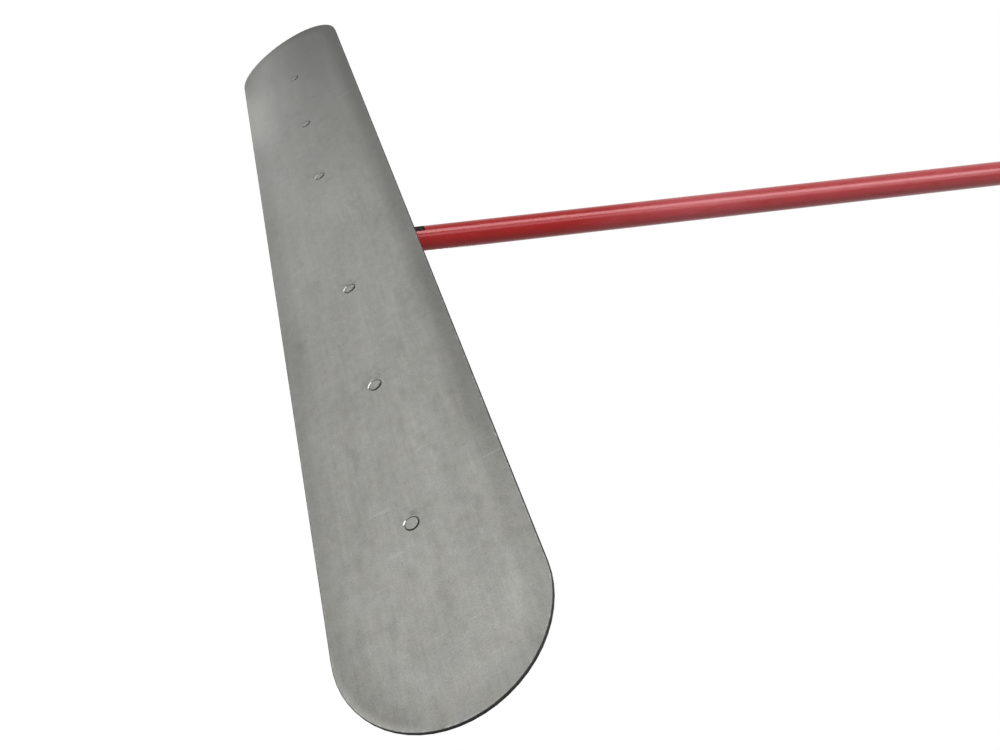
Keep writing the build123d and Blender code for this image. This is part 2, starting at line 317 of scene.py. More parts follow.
class FloatSettings(bpy.types.PropertyGroup):
    """Colours and sizes of the float's finish."""

    blade_light: colour_setting("Blade Light", "Paler tone of the rubbed aluminium blade", 138, 139, 135)
    blade_dark: colour_setting("Blade Dark", "Darker tone of the rubbed aluminium blade", 105, 106, 102)
    # A near-black painted shade for the blade's sheared edge and the gaps round the rivets
    blade_edge: colour_setting(
        "Blade Edge", "The blade's sheared edge and the gaps round the rivets", 20, 21, 18
    )
    # Dark dirt of the smudges and specks, also used as painted shade along the blade's edges, far end and right
    # side
    blade_grime: colour_setting(
        "Blade Grime", "Dried residue along the blade's edges and behind the rivets", 52, 51, 47
    )
    channel_metal: colour_setting("Channel", "Mill finish of the extruded backbone", 168, 170, 171)
    zinc: colour_setting("Zinc", "Bright plating of the bolts, nuts and washers", 186, 190, 196)
    casting_paint: colour_setting(
        "Casting Paint", "Black paint of the bracket and the adapter", 9, 9, 10
    )
    handle_red: colour_setting("Handle Red", "Paint of the handle tube", 110, 8, 7)
    ferrule_black: colour_setting("Ferrule", "Moulded plastic of the end ferrule", 30, 30, 31)
    rivet_head_diameter: length_setting(
        "Rivet Head", "Diameter of a rivet's flat head in its seat", 13.2 * MM
    )
    rivet_head_drift: length_setting(
        "Rivet Drift", "How far the heads sit off the middle of their seats", 0.95 * MM
    )
    thread_pitch: length_setting("Small Thread Pitch", "Rise of one turn of the M6 threads", 1.0 * MM)
    lens: bpy.props.FloatProperty(
        name="Lens",
        description="Focal length of the camera on its 36 mm wide frame",
        default=33.018,
        unit="CAMERA",
    )
    daylight: bpy.props.FloatProperty(
        name="Studio Fill",
        description="Light that the white room gives from all sides",
        default=0.2,
        subtype="FACTOR",
    )
    low_key_power: power_setting(
        "Low Key Lamp", "Power of the soft lamp under the near end of the blade", 9.8
    )
    far_glow_power: power_setting(
        "Far Glow Lamp", "Power of the small lamp that skims the blade's far end", 0.11
    )
    mid_glow_power: power_setting(
        "Middle Glow Lamp", "Power of the small lamp that skims the middle of the blade", 0.4
    )
    handle_key_power: power_setting(
        "Handle Key Lamp", "Power of the long lamp below the handle, which draws its bright band", 71.0
    )
    handle_fill_power: power_setting(
        "Handle Fill Lamp", "Power of the long lamp beside the handle, which draws its second band", 22.0
    )
    high_key_power: power_setting(
        "High Key Lamp", "Power of the large soft lamp above and behind the float", 150.0
    )
    high_fill_power: power_setting(
        "High Fill Lamp", "Power of the soft lamp above the handle's end", 45.0
    )


# ---------------------------------------------------------------- materials


def new_material(name):
    """An empty material and a wire to start its nodes from."""
    material = bpy.data.materials.new(name)
    material.use_nodes = True
    material.node_tree.nodes.clear()
    return material, Wire(material.node_tree)


def object_point(wire):
    """The point on the surface in the float's own frame."""
    return wire.node("ShaderNodeTexCoord", output="Object")


def surface(wire, colour, roughness, relief, depth, metallic=0.0, specular=0.5, tint=(1.0, 1.0, 1.0)):
    """Ends a material on one shader, with a relief of the given depth, in metres."""
    bump = wire.node("ShaderNodeBump", inputs={"Height": relief, "Distance": depth})
    sockets = {
        "Base Color": opaque(colour),
        "Roughness": roughness,
        "Metallic": metallic,
        "Normal": bump,
        "Specular IOR Level": specular,
        "Specular Tint": opaque(tint),
    }
    shader = wire.node("ShaderNodeBsdfPrincipled", inputs=sockets)
    wire.node("ShaderNodeOutputMaterial", inputs={"Surface": shader})


# Colours that no setting changes: bare metal, stains and light wear, painted highlights, glints and sheen, and
# bare steel darkened as painted shade
SCUFF_AND_GLINT_METAL = srgb(232, 233, 226)
HIGHLIGHT_METAL = srgb(214, 215, 210)
WARMED_METAL = (1.0, 0.972, 0.965)
SHADED_CHANNEL = srgb(128, 130, 131)
HAMMERED_TAIL = srgb(136, 138, 139)
DULLED_ZINC = srgb(128, 132, 138)
DUST = srgb(96, 94, 90)
CHIPPED_IRON = srgb(120, 116, 110)
BRONZE = srgb(176, 132, 74)
TARNISHED_BRONZE = srgb(112, 78, 44)
FIBRE_BINDER = srgb(62, 50, 42)
FIBRE_STRAND = srgb(126, 106, 86)
BRASS_FLECK = srgb(170, 134, 78)
FADED_RED = srgb(123, 13, 12)
RUBBED_RED_AND_SHEEN = srgb(214, 150, 160)
SHADED_BARE_STEEL = srgb(40, 38, 37)
RUBBED_PLASTIC = srgb(84, 84, 84)

# Sides of a rivet on the working face, along X and Y: where painted shade darkens its seat and rim, and where a
# painted glint lies beside it
DARK_SIDE = (0.57, 0.82)
GLINT_SIDE = (-0.82, -0.57)

# Middle of the paler patch on the handle, along it from the pivot, in metres
PALE_PATCH_MIDDLE = 0.52


def outline_distance(x, y, length, width):
    """How far a point lies inside the outline of a round-ended plate along Y."""
    radius = width / 2
    past = (abs(y) - (length / 2 - radius)).most(0.0)
    return radius - (x * x + past * past) ** 0.5


def about_rivet(x, y):
    """How far a point lies along Y from the nearest rivet, and how far from that rivet's middle."""
    nearest, *others = [y - middle(rivet).y for rivet in RIVETS]
    for along in others:
        closer = y.math("LESS_THAN", abs(along), abs(nearest))
        nearest = along * closer + nearest * (1 - closer)
    return nearest, (x * x + nearest * nearest) ** 0.5


def towards(side, x, away, reach):
    """1 on the given side of the nearest rivet, falling to -1 on the other side."""
    return (side[0] * x + side[1] * away) / reach


def blade_aluminium(settings):
    """Rubbed aluminium sheet: mottled, streaked and scuffed, smudged with dirt, with painted shade at its edges
    and rivet seats, and painted highlights and glints.
    """
    material, wire = new_material("blade_aluminium")
    point = object_point(wire)
    x, y, z = point.split()
    inside = outline_distance(x, y, BLADE_LENGTH, BLADE_WIDTH)
    away, reach = about_rivet(x, y)

    # Patterns in the sheet
    streaks = point.stretched(y=0.06).noise(4 * MM, detail=3)
    mottle = point.stretched(y=0.8).noise(11 * MM, detail=5, roughness=0.72)
    patches = point.stretched(y=0.5).noise(80 * MM, detail=3)
    grain = point.noise(1.7 * MM, detail=2, roughness=0.7)
    smudges = point.stretched(y=0.55, turn=(0, 0, 0.3)).noise(26 * MM, detail=4).rise(0.56, 0.7)
    specks = 1 - point.cells(21 * MM).rise(0.03, 0.07)
    scuffs = point.stretched(x=0.1, turn=(0, 0, 0.35)).noise(6 * MM, detail=1).rise(0.68, 0.86)
    bands = point.stretched(y=0.12).noise(20 * MM, detail=3)
    tone = 0.5 + streaks.swing(0.4) + mottle.swing(0.95) + patches.swing(0.75) + grain.swing(1.2)
    tone = tone + bands.swing(0.5)

    # Painted shade and painted highlights over the whole face, placed in metres from its middle: +Y is the near
    # end, +X the handle's side
    ends = abs(y).rise(0.45, 0.62)
    handle_side = x.rise(20 * MM, 70 * MM) * (1 - 0.85 * ends)
    edge_shade = (1 - inside.rise(6 * MM, 36 * MM)) * (0.2 + 0.22 * handle_side)
    far_right_shade = (0.5 + x / BLADE_WIDTH).rise(0.15, 0.75) * (0.5 - y / BLADE_LENGTH).rise(0.45, 1.0)
    far_end_shade = (-1.0 * y).rise(0.48, 0.66)
    right_side_shade = x.rise(35 * MM, 75 * MM) * y.rise(-0.4, 0.0) * (1 - ends)
    far_left_highlight = (-1.0 * x).rise(35 * MM, 95 * MM) * (1 - abs(y + 0.5).rise(30 * MM, 190 * MM))
    corner = (-1.0 * x).rise(20 * MM, 60 * MM) * y.rise(0.64, 0.7) * (1 - inside.rise(2 * MM, 8 * MM))

    # The sheared edge: nicks of wear, and a dark band of painted shade
    nicks = point.noise(6 * MM, detail=3)
    rubbed = (1 - inside.rise(1.4 * MM, 2.2 * MM)) * nicks.rise(0.45, 0.7)
    cut_edge = 1 - inside.rise(0.3 * MM, 1.1 * MM)

    # Painted shade in the rivet seats, painted glints beside the rivets, and smudges of dirt behind them
    # Painted shade on the seat wall: on the dark side of each rivet, and all round the near ones
    seat_wall = 1 - reach.rise(RIVET_SEAT_RADIUS, RIVET_SEAT_RADIUS + 0.2 * MM)
    seat_wall = seat_wall * z.rise(0.02 * MM, 0.25 * MM)
    dark = towards(DARK_SIDE, x, away, reach)
    shaded_seat_side = 1 - (1 - y.rise(0.3, 0.55)) * (1 - dark.rise(-0.2, 0.4))
    # Painted glint: a near-white arc just outside each seat, on the side towards the light
    glint_ring = reach.rise(7.8 * MM, 8.1 * MM) * (1 - reach.rise(9.0 * MM, 9.6 * MM))
    glint_direction = towards(GLINT_SIDE, x, away, reach) + 0.07 * (1 - y.rise(0.38, 0.52))
    painted_glint = glint_ring * glint_direction.rise(0.93, 0.985) * y.rise(-0.45, 0.1)
    behind = (-1.0 * away / reach).rise(0.1, 0.8)
    smudge = (1 - reach.rise(10 * MM, 26 * MM)) * behind * point.noise(7 * MM, detail=3).rise(0.42, 0.6)

    colour = tone.blend(settings.blade_dark, settings.blade_light)
    colour = point.noise(30 * MM).rise(0.3, 0.7).blend(colour, colour.tinted(WARMED_METAL))
    # Painted shade: darker along the edges (more on the handle's side), towards the far right, at the far end and
    # along the right side
    painted_shade = edge_shade + 0.6 * far_right_shade + 0.16 * far_end_shade + 0.08 * right_side_shade
    colour = painted_shade.blend(colour, settings.blade_grime)
    colour = (0.3 * smudge + 0.25 * specks + 0.12 * smudges).blend(colour, settings.blade_grime)
    # Painted highlights: paler towards the far left and along the near left edge
    colour = (0.2 * far_left_highlight + 0.1 * corner).blend(colour, HIGHLIGHT_METAL)
    # Scuffs and rubbed nicks, and a painted glint beside each rivet
    colour = (0.14 * rubbed + 0.08 * scuffs + 0.97 * painted_glint).blend(colour, SCUFF_AND_GLINT_METAL)
    # Painted shade: a near-black band on the sheared edge and on the rivet seat walls
    colour = (0.95 * cut_edge.most(0.55 * seat_wall * shaded_seat_side)).blend(colour, settings.blade_edge)
    dull = cut_edge.most(seat_wall)
    roughness = 0.34 + mottle.swing(0.2) + streaks.swing(0.15) - 0.1 * rubbed + 0.5 * dull
    relief = 0.3 * streaks + 0.4 * grain + 0.4 * mottle - 0.15 * scuffs
    metallic = 0.12 - 0.12 * dull
    surface(wire, colour, roughness, relief, 0.02 * MM, metallic=metallic, specular=0.15)
    return material


def channel_aluminium(settings):
    """Extruded aluminium: die lines along the channel under a dull skin."""
    material, wire = new_material("channel_aluminium")
    point = object_point(wire)
    lines = point.stretched(y=0.01).noise(0.9 * MM, detail=3, roughness=0.7)
    bands = point.stretched(y=0.02).noise(7 * MM, detail=2)
    stain = point.noise(45 * MM, detail=4)
    tone = 0.5 + lines.swing(0.5) + bands.swing(0.8) + stain.swing(0.9)
    colour = tone.blend(SHADED_CHANNEL, settings.channel_metal)
    roughness = 0.42 + lines.swing(0.3) + stain.swing(0.3)
    surface(wire, colour, roughness, lines + 0.5 * bands, 0.04 * MM, metallic=0.8)
    return material


def rivet_aluminium(settings):
    """Rivet wire: dull, rippled heads with a painted shadow on one side of the rim and painted near-black shade
    where they sink into the seat, and bright hammered tails.
    """
    material, wire = new_material("rivet_aluminium")
    point = object_point(wire)
    x, y, z = point.split()
    ripple = point.noise(2.2 * MM, detail=2)
    grain = point.noise(0.5 * MM, detail=2)
    sunk = z.rise(0.12 * MM, 0.5 * MM) * (1 - z.rise(2.5 * MM, 4.0 * MM))
    tail = z.rise(4.0 * MM, 5.5 * MM)
    away, reach = about_rivet(x, y)
    far = 1 - y.rise(-0.3, 0.4)
    rim = (reach + 1.2 * MM * far).rise(4.0 * MM, 5.2 * MM)
    rim = rim * towards(DARK_SIDE, x, away, reach).rise(0.45, 0.85) * (1 - y.rise(0.38, 0.52))
    tone = 0.45 + ripple.swing(1.9) + grain.swing(0.9)
    colour = tone.blend(settings.blade_dark, settings.blade_light)
    # Painted shade: near black where the rivet sinks into its seat, and a painted shadow on the rim's dark side
    colour = (0.97 * sunk).blend(colour, settings.blade_edge)
    colour = (0.8 * rim).blend(colour, settings.blade_edge)
    bright = (0.4 + ripple.swing(1.4)).blend(HAMMERED_TAIL, settings.channel_metal)
    colour = tail.blend(colour, bright)
    roughness = 0.4 + grain.swing(0.3) + 0.5 * sunk
    metallic = 0.12 - 0.12 * sunk + 0.6 * tail
    surface(wire, colour, roughness, ripple + 0.3 * grain, 0.06 * MM, metallic=metallic, specular=0.15)
    return material


def zinc_plate(name, settings):
    """Bright zinc on turned and rolled steel, dulled in patches."""
    material, wire = new_material(name)
    point = object_point(wire)
    spangle = point.cells(1.6 * MM)
    dull = point.noise(5 * MM, detail=3)
    grain = point.noise(0.3 * MM)
    tone = 0.55 + spangle.swing(0.35) + dull.swing(1.1)
    colour = tone.blend(DULLED_ZINC, settings.zinc)
    roughness = 0.3 + 0.5 * (dull - 0.45).most(0.0) + grain.swing(0.15)
    surface(wire, colour, roughness, grain + 0.5 * dull, 0.02 * MM, metallic=1.0)
    return material


def painted_casting(name, settings):
    """Satin black paint over a sand casting, chipped here and there to the iron."""
    material, wire = new_material(name)
    point = object_point(wire)
    sand = point.noise(0.9 * MM, detail=3, roughness=0.65)
    swell = point.noise(7 * MM, detail=2)
    chips = point.noise(3.5 * MM, detail=5, roughness=0.7).rise(0.66, 0.68)
    dust = point.noise(12 * MM, detail=4).rise(0.5, 0.72)
    colour = (0.06 * dust).blend(settings.casting_paint, DUST)
    colour = chips.blend(colour, CHIPPED_IRON)
    roughness = 0.5 + 0.3 * dust + sand.swing(0.2)
    relief = sand + 0.8 * swell - 0.6 * chips
    surface(wire, colour, roughness, relief, 0.16 * MM, metallic=0.7 * chips, specular=0.08)
    return material


def bush_bronze():
    """Turned bronze with fine tool rings along its length."""
    material, wire = new_material("bush_bronze")
    point = object_point(wire)
    rings = point.stretched(x=0.1, z=0.1).noise(0.25 * MM, detail=2)
    tarnish = point.noise(4 * MM, detail=3)
    colour = (0.4 + tarnish.swing(1.3)).blend(BRONZE, TARNISHED_BRONZE)
    surface(wire, colour, 0.3 + 0.3 * (tarnish - 0.4), rings, 0.02 * MM, metallic=1.0)
    return material


def pressed_fibre():
    """Pressed fibre disc: dark binder with short pale strands and flecks of brass."""
    material, wire = new_material("pressed_fibre")
    point = object_point(wire)
    strands = point.stretched(x=0.25, turn=(0.4, 0.9, 0.3)).noise(0.5 * MM, detail=3).rise(0.56, 0.66)
    flecks = 1 - point.cells(2.4 * MM).rise(0.08, 0.14)
    colour = (0.5 * strands).blend(FIBRE_BINDER, FIBRE_STRAND)
    colour = (0.8 * flecks).blend(colour, BRASS_FLECK)
    surface(wire, colour, 0.8 - 0.4 * flecks, strands - 0.4 * flecks, 0.06 * MM, metallic=flecks)
    return material


def handle_paint(settings):
    """Glossy red paint, scuffed along the tube, with a paler patch and a painted sheen towards the held end, and
    bare steel inside darkened by painted shade.
    """
    material, wire = new_material("handle_paint")
    point = object_point(wire)
    x, y, z = point.split()
    rise = z - PIVOT.z
    across = rise * math.cos(HANDLE_ANGLE) - x * math.sin(HANDLE_ANGLE)
    radius = (y * y + across * across) ** 0.5
    bare = 1 - radius.rise(TUBE_RADIUS - 0.5 * MM, TUBE_RADIUS - 0.25 * MM)
    level = point.stretched(turn=(0.0, HANDLE_ANGLE, 0.0))
    peel = level.noise(2.6 * MM, detail=2)
    scuffs = level.stretched(x=0.03).noise(1.1 * MM, detail=2).rise(0.64, 0.74)
    cloud = level.stretched(x=0.4).noise(60 * MM, detail=4)
    along = x * math.cos(HANDLE_ANGLE) + rise * math.sin(HANDLE_ANGLE)
    pale_patch = 1 - abs(along - PALE_PATCH_MIDDLE).rise(20 * MM, 100 * MM)
    handled = (along + cloud.swing(0.3)).rise(PALE_PATCH_MIDDLE - 0.18, PALE_PATCH_MIDDLE - 0.08)
    # Painted sheen: a pale pinkish haze standing for the room's reflection on the held end, and a paler patch near
    # the middle of the tube
    patch_and_sheen = (0.06 * handled + 0.03 * pale_patch) * level.stretched(x=0.3).noise(8 * MM, detail=3).rise(0.1, 0.5)
    specks = 1 - point.cells(9 * MM).rise(0.03, 0.06)
    colour = (0.5 + cloud.swing(1.2)).blend(settings.handle_red, FADED_RED)
    # Scuffs, specks of dust, and the painted sheen, all towards a pale rubbed red
    colour = (0.07 * scuffs + 0.2 * specks + patch_and_sheen).blend(colour, RUBBED_RED_AND_SHEEN)
    # Bare steel inside the bore and the slot, painted near black as shade
    colour = bare.blend(colour, SHADED_BARE_STEEL)
    roughness = 0.17 + 0.05 * handled + cloud.swing(0.12) + 0.15 * scuffs + 0.3 * bare
    relief = peel - 0.4 * scuffs + 0.3 * specks
    surface(wire, colour, roughness, relief, 0.007 * MM, specular=0.35, tint=(1.0, 0.66, 0.7))
    return material


def moulded_plastic(settings):
    """Black moulded plastic with a fine spark-eroded grain."""
    material, wire = new_material("moulded_plastic")
    point = object_point(wire)
    pores = point.noise(0.45 * MM, detail=2, roughness=0.7)
    rub = point.noise(14 * MM, detail=4)
    colour = (0.35 * rub.rise(0.45, 0.7)).blend(settings.ferrule_black, RUBBED_PLASTIC)
    surface(wire, colour, 0.5 + rub.swing(0.3), pores, 0.05 * MM)
    return material


def coat(node, material):
    """Gives a node of the frame its material."""
    slots = frame["nodes"][node].material_slots
    for slot in slots:
        slot.material = material
    if not slots:
        raise RuntimeError(f"{node} has no material slot")


# ---------------------------------------------------------------- turned and threaded parts


def geometry_tree(name, *sizes):
    """An empty Geometry Nodes tree with inputs for places, aim, sizes and material, and their wires."""
    tree = bpy.data.node_groups.new(name, "GeometryNodeTree")
    tree.interface.new_socket("Geometry", in_out="OUTPUT", socket_type="NodeSocketGeometry")
    floats = dict.fromkeys(sizes, "Float")
    kinds = {"Places": "Geometry", "Aim": "Vector", **floats, "Material": "Material"}
    for label, kind in kinds.items():
        tree.interface.new_socket(label, in_out="INPUT", socket_type=f"NodeSocket{kind}")
    entry = tree.nodes.new("NodeGroupInput")
    return tree, {socket.name: Wire(tree, socket) for socket in entry.outputs if socket.name}


def turned(wire, sides, rows, shape):
    """A closed solid about Z; shape gives the radius and height at an angle, part of a lap and row."""
    grid = wire.node("GeometryNodeMeshGrid", inputs={"Vertices X": sides + 1, "Vertices Y": rows})
    index = wire.node("GeometryNodeInputIndex")
    row = index % rows
    lap = (index - row) / rows / sides
    angle = lap * (2 * math.pi)
    radius, height = shape(angle, lap, row)
    place = wire.join(radius * wire.math("COSINE", angle), radius * wire.math("SINE", angle), height)
    placed = wire.node("GeometryNodeSetPosition", inputs={"Geometry": grid, "Position": place})
    return wire.node("GeometryNodeMergeByDistance", inputs={"Geometry": placed, "Distance": 0.001 * MM})


def pick(wire, row, values):
    """The value that stands at this row in a list of numbers and wires."""
    items = {f"Item_{place}": value for place, value in enumerate(values)}
    settings = {"data_type": "FLOAT", "choices": len(values)}
    return wire.node("GeometryNodeIndexSwitch", settings, {"Index": row.least(len(values) - 1), **items})


def pick_row(wire, row, rows):
    """Radius and height at this row in a list of them, from the bottom up."""
    radii, heights = zip(*rows)
    return pick(wire, row, radii), pick(wire, row, heights)


def set_out(wires, solid, seed):
    """One real copy of the solid at each place, aimed along its axis and spun about it at random."""
    places = wires["Places"]
    aim = places.node("FunctionNodeEulerToRotation", inputs={"Euler": wires["Aim"]})
    copies = places.node(
        "GeometryNodeInstanceOnPoints",
        inputs={"Points": places, "Instance": solid, "Rotation": aim},
    )
    spin = places.node(
        "FunctionNodeRandomValue",
        {"data_type": "FLOAT"},
        {"Max_001": 2 * math.pi, "Seed": seed},
        output="Value_001",
    )
    spun = places.node(
        "GeometryNodeRotateInstances",
        inputs={"Instances": copies, "Rotation": places.join(0.0, 0.0, spin)},
    )
    return places.node("GeometryNodeRealizeInstances", inputs={"Geometry": spun})


def finish_tree(tree, wires, geometry):
    """Gives the geometry its material and ends the tree."""
    dressed = geometry.node(
        "GeometryNodeSetMaterial",
        inputs={"Geometry": geometry, "Material": wires["Material"]},
    )
    leave = tree.nodes.new("NodeGroupOutput")
    tree.links.new(dressed.socket, leave.inputs["Geometry"])


def grown(name, places, tree, values):
    """The plain mesh that a Geometry Nodes tree makes at the given places."""
    points = bpy.data.meshes.new(name)
    points.from_pydata([tuple(place) for place in places], [], [])
    piece = bpy.data.objects.new(name, points)
    bpy.context.scene.collection.objects.link(piece)
    modifier = piece.modifiers.new(tree.name, "NODES")
    modifier.node_group = tree
    for item in tree.interface.items_tree:
        if item.item_type == "SOCKET" and item.name in values:
            modifier[item.identifier] = values[item.name]
    bpy.context.view_layer.update()
    evaluated = piece.evaluated_get(bpy.context.evaluated_depsgraph_get())
    plain = bpy.data.meshes.new_from_object(evaluated)
    piece.modifiers.clear()
    piece.data = plain
    if not plain.polygons:
        raise RuntimeError(f"{name} came out empty")
    plain.shade_smooth()
    plain.set_sharp_from_angle(angle=math.radians(32))
    return piece


def seat(piece, body, slot, *nodes):
    """Hangs a finished piece on its body in place of the frame's plain nodes."""
    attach(piece, body)
    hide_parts(*nodes)


def grow_over(name, node, body, slot, tree, sizes, aim=UPRIGHT):
    """Grows a finished solid over each plain solid of a node, from its lower end along the aim."""
    boxes = solids_of(node)
    if aim == UPRIGHT:
        places = [(middle(box).x, middle(box).y, box[0].z) for box in boxes]
    else:
        places = [(middle(box).x, box[0].y, middle(box).z) for box in boxes]
    seat(grown(name, places, tree, {"Aim": aim, **sizes}), body, slot, node)


def rivet_tree():
    """Flush rivet: a head bevelled at its rim, a cone under it, and a hammered tail on the washer."""
    tree, wires = geometry_tree(
        "rivet",
        "Head Radius",
        "Head Bevel",
        "Head Depth",
        "Neck Height",
        "Shank Radius",
        "Tail Base",
        "Tail Radius",
        "Tail Height",
        "Drift",
        "Ripple",
    )
    wire = wires["Places"]
    head = wires["Head Radius"]
    bevel = wires["Head Bevel"]
    base = wires["Tail Base"]
    tail = wires["Tail Radius"]
    rise = wires["Tail Height"]
    rows = [
        (0.0, 0.0),
        (0.5 * head, 0.1 * bevel),
        (head - bevel, 0.35 * bevel),
        (head - 0.3 * bevel, 0.6 * bevel),
        (head, 1.2 * bevel),
        (head, wires["Head Depth"]),
        (wires["Shank Radius"], wires["Neck Height"]),
        (wires["Shank Radius"], base),
        (0.96 * tail, base),
        (tail, base + 0.25 * rise),
        (0.97 * tail, base + 0.55 * rise),
        (0.82 * tail, base + 0.85 * rise),
        (0.55 * tail, base + 0.97 * rise),
        (0.0, base + rise),
    ]
    solid = turned(wire, 40, len(rows), lambda angle, lap, row: pick_row(wire, row, rows))
    rivets = set_out(wires, solid, seed=4)
    point = wire.node("GeometryNodeInputPosition")
    z = point.split()[2]
    slide = wires["Drift"] * (1 - z.rise(0.4 * MM, 2.6 * MM)) * -1.0
    slid = wire.node(
        "GeometryNodeSetPosition",
        inputs={"Geometry": rivets, "Offset": wire.join(0.45 * slide, 0.9 * slide, 0.0)},
    )
    blows = wires["Ripple"] * (point.noise(3.2 * MM, detail=1) - 0.5) * z.rise(base, base + rise)
    hammered = wire.node(
        "GeometryNodeSetPosition",
        inputs={"Geometry": slid, "Offset": wire.join(blows, 0.0, blows)},
    )
    finish_tree(tree, wires, hammered)
    return tree


def washer_tree():
    """Stamped washer, its outer edge rolled over on one side."""
    tree, wires = geometry_tree("washer", "Outer Radius", "Hole Radius", "Thickness", "Edge")
    wire = wires["Places"]
    outer = wires["Outer Radius"]
    hole = wires["Hole Radius"]
    thickness = wires["Thickness"]
    edge = wires["Edge"]
    rows = [
        (hole, 0.3 * edge),
        (hole + 0.3 * edge, 0.0),
        (outer - 0.4 * edge, 0.0),
        (outer, 0.4 * edge),
        (outer, thickness - edge),
        (outer - 0.35 * edge, thickness - 0.3 * edge),
        (outer - edge, thickness),
        (hole + 0.6 * edge, thickness),
        (hole, thickness - 0.6 * edge),
        (hole, 0.3 * edge),
    ]
    solid = turned(wire, 48, len(rows), lambda angle, lap, row: pick_row(wire, row, rows))
    finish_tree(tree, wires, set_out(wires, solid, seed=7))
    return tree


def hexagon_radius(angle, flats):
    """Distance from the middle to a hexagon's side at this angle; flats is the size across its flats."""
    return flats * 0.5 / angle.math("COSINE", angle % (math.pi / 3) - math.pi / 6)


def nut_tree():
    """Hexagon nut, its corners turned off on both faces, with a chamfered hole."""
    tree, wires = geometry_tree("hexagon_nut", "Across Flats", "Hole Radius", "Height")
    wire = wires["Places"]
    flats = wires["Across Flats"]
    hole = wires["Hole Radius"]
    height = wires["Height"]
    lead = 0.5 * MM

    def shape(angle, lap, row):
        """Radius and height of the nut's outline at one angle."""
        side = hexagon_radius(angle, flats)
        face = 0.47 * flats
        drop = (side - face) * 0.5
        rows = [
            (hole, lead),
            (hole + lead, 0.0),
            (face, 0.0),
            (side, drop),
            (side, height - drop),
            (face, height),
            (hole + lead, height),
            (hole, height - lead),
            (hole, lead),
        ]
        return pick_row(wire, row, rows)

    solid = turned(wire, sides=48, rows=9, shape=shape)
    finish_tree(tree, wires, set_out(wires, solid, seed=11))
    return tree


# Rolled thread: how deep it is and how far its four rows to a turn climb, as shares of the pitch
THREAD_DEPTH = 0.58
THREAD_CLIMB = (0.0, 0.22, 0.56, 0.66)


def bolt_tree(name, head, head_rows):
    """Bolt with a head of so many outline rows, a plain shank and a rolled thread to its end."""
    tree, wires = geometry_tree(
        name,
        "Head Width",
        "Head Height",
        "Shank Radius",
        "Thread Start",
        "Length",
        "Pitch",
    )
    wire = wires["Places"]
    shank = wires["Shank Radius"]
    start = wires["Thread Start"]
    length = wires["Length"]
    pitch = wires["Pitch"]
    root = shank - THREAD_DEPTH * pitch
    turns = wire.math("CEIL", (length - start) / pitch) + 2
    rows = turns * 4 + (head_rows + 1)

    def shape(angle, lap, row):
        """Head and shank row by row, and then four rows to each turn of the thread."""
        outline = head(wires, angle)
        if len(outline) != head_rows:
            raise RuntimeError(f"{name} has a head of {len(outline)} rows")
        head_radius, head_height = pick_row(wire, row, outline)
        threaded = wire.math("GREATER_THAN", row, head_rows - 0.5)
        inner = 1 - wire.math("GREATER_THAN", row, rows - 1.5)
        ridge = (row - head_rows).most(0.0)
        phase = ridge % 4
        climb = (ridge - phase) / 4 - 1 + pick(wire, phase, THREAD_CLIMB) + lap
        height = (start + climb * pitch).most(start).least(length)
        crest = pick(wire, phase, [root, root, shank, shank])
        run_out = (1 - climb * 2).most(0.0).least(1.0)
        radius = (crest + (shank - crest) * run_out).least(root + (length - height))
        return (
            head_radius * (1 - threaded) + radius * threaded * inner,
            head_height * (1 - threaded) + (height * inner + length * (1 - inner)) * threaded,
        )

    solid = turned(wire, 24, rows, shape)
    finish_tree(tree, wires, set_out(wires, solid, seed=3))
    return tree


def sunk_head(wires, angle):
    """Outline of a countersunk head and its shank."""
    width = wires["Head Width"]
    shank = wires["Shank Radius"]
    return [
        (0.0, 0.0),
        (0.47 * width, 0.0),
        (0.5 * width, 0.02 * width),
        (shank, wires["Head Height"]),
        (shank, wires["Thread Start"]),
    ]


def hexagon_head(wires, angle):
    """Outline of a hexagon head with its outer corners turned off, and its shank."""
    flats = wires["Head Width"]
    shank = wires["Shank Radius"]
    side = hexagon_radius(angle, flats)
    face = 0.46 * flats
    return [
        (0.0, 0.0),
        (face, 0.0),
        (side, (side - face) * 0.5),
        (side, wires["Head Height"]),
        (shank, wires["Head Height"]),
        (shank, wires["Thread Start"]),
    ]


def round_head(wires, angle):
    """Outline of a carriage bolt's domed head, its square neck and its shank."""
    half = 0.5 * wires["Head Width"]
    rise = wires["Head Height"]
    shank = wires["Shank Radius"]
    square = 0.99 * shank / angle.math("COSINE", angle % (math.pi / 2) - math.pi / 4)
    return [
        (0.0, 0.0),
        (0.3 * half, 0.07 * rise),
        (0.55 * half, 0.25 * rise),
        (0.76 * half, 0.5 * rise),
        (0.92 * half, 0.77 * rise),
        (half, 0.96 * rise),
        (0.985 * half, rise),
        (square, rise),
        (square, rise + 0.9 * shank),
        (shank, rise + 1.05 * shank),
        (shank, wires["Thread Start"]),
    ]


# ---------------------------------------------------------------- operators of the pieces


class FLOAT_OT_blade(bpy.types.Operator):
    """Gives the smoothing blade its rubbed aluminium"""

    bl_idname = "bull_float.blade"
    bl_label = "Blade"

    def execute(self, context):
        coat("blade", blade_aluminium(context.scene.float_settings))
        return {"FINISHED"}


class FLOAT_OT_backbone(bpy.types.Operator):
    """Gives the backbone channel its mill finish"""

    bl_idname = "bull_float.backbone"
    bl_label = "Backbone Channel"

    def execute(self, context):
        coat("backbone_channel", channel_aluminium(context.scene.float_settings))
        return {"FINISHED"}


